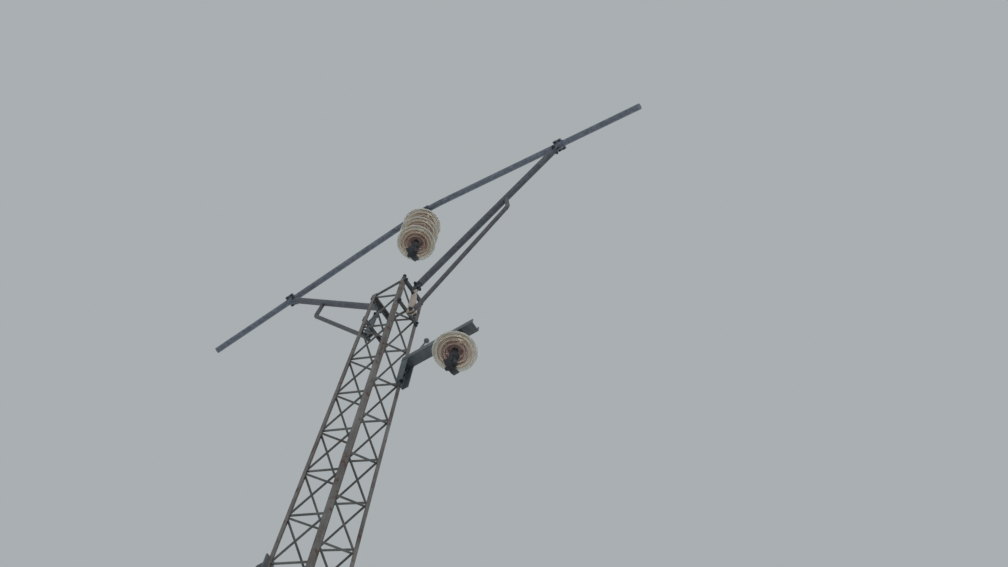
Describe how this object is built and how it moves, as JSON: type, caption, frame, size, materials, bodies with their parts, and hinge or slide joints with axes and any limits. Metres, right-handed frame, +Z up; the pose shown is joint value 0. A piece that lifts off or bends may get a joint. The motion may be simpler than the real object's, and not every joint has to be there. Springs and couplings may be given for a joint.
{
  "type": "steel lattice power line mast",
  "caption": "Tapering steel lattice mast on a base plate, with an arched tube crossarm on struts, a side bracket and hanging glass disc insulators that swing.",
  "frame": {"origin": "middle of the base plate's underside, at ground level", "axes": "+Z up the mast, X along the crossarm with +X towards the side bracket, Y along the overhead line"},
  "size_m": [3.4298, 0.54, 12.2508],
  "materials": {
    "base_steel": "dull grey paint",
    "leg_steel": "weathered brown-grey paint",
    "lacing_steel": "weathered dark grey paint",
    "tube_zinc": "hot-dip galvanized, dull blue-grey",
    "fitting_zinc": "hot-dip galvanized, dark and dull",
    "plate_primer": "pinkish brown primer",
    "bracket_steel": "dark blue-grey paint",
    "cap_iron": "galvanized cast iron, dull",
    "disc_glass": "toughened glass, amber to greenish",
    "clamp_alloy": "cast alloy, dull"
  },
  "bodies": {
    "mast": {"base_plate": "base_steel", "leg_front_left": "leg_steel", "leg_front_right": "leg_steel", "leg_rear_left": "leg_steel", "leg_rear_right": "leg_steel", "lacing_front": "lacing_steel", "lacing_rear": "lacing_steel", "lacing_left": "lacing_steel", "lacing_right": "lacing_steel", "head_ring": "lacing_steel", "leg_top_stud": "fitting_zinc", "arch_tube": "tube_zinc", "strut_left": "tube_zinc", "strut_right": "tube_zinc", "brace_left": "tube_zinc", "brace_right": "tube_zinc", "saddle_left": "fitting_zinc", "saddle_right": "fitting_zinc", "head_bars_left": "fitting_zinc", "head_bars_right": "fitting_zinc", "head_plate_left": "plate_primer", "head_plate_right": "plate_primer", "hanger_top": "fitting_zinc", "hanger_side": "fitting_zinc", "bracket_foot": "bracket_steel", "bracket_arm": "bracket_steel", "arm_pin": "bracket_steel", "anchor_bracket": "bracket_steel"},
    "top_string": {"top_ball_eye": "fitting_zinc", "top_caps": "cap_iron", "top_shells": "disc_glass", "top_pins": "fitting_zinc", "top_socket_eye": "fitting_zinc", "top_straps": "fitting_zinc"},
    "top_clamp": {"top_clamp_body": "clamp_alloy", "top_clamp_keeper": "clamp_alloy"},
    "side_string": {"side_ball_eye": "fitting_zinc", "side_cap": "cap_iron", "side_shell": "disc_glass", "side_pin": "fitting_zinc", "side_socket_eye": "fitting_zinc", "side_straps": "fitting_zinc"},
    "side_clamp": {"side_clamp_body": "clamp_alloy", "side_clamp_keeper": "clamp_alloy"}
  },
  "joints": [
    {"name": "top_swing", "type": "hinge", "parent": "mast", "child": "top_string", "pos_m": [0, 0, 12.15389], "axis": [0, 1, 0], "range_deg": [-35, 35]},
    {"name": "top_clamp_tilt", "type": "hinge", "parent": "top_string", "child": "top_clamp", "pos_m": [0, 0, 11.48089], "axis": [1, 0, 0], "range_deg": [-25, 25]},
    {"name": "side_swing", "type": "hinge", "parent": "mast", "child": "side_string", "pos_m": [0.498, 0.0957, 9.91], "axis": [0, 1, 0], "range_deg": [-35, 35]},
    {"name": "side_clamp_tilt", "type": "hinge", "parent": "side_string", "child": "side_clamp", "pos_m": [0.498, 0.0957, 9.578], "axis": [1, 0, 0], "range_deg": [-25, 25]}
  ]
}
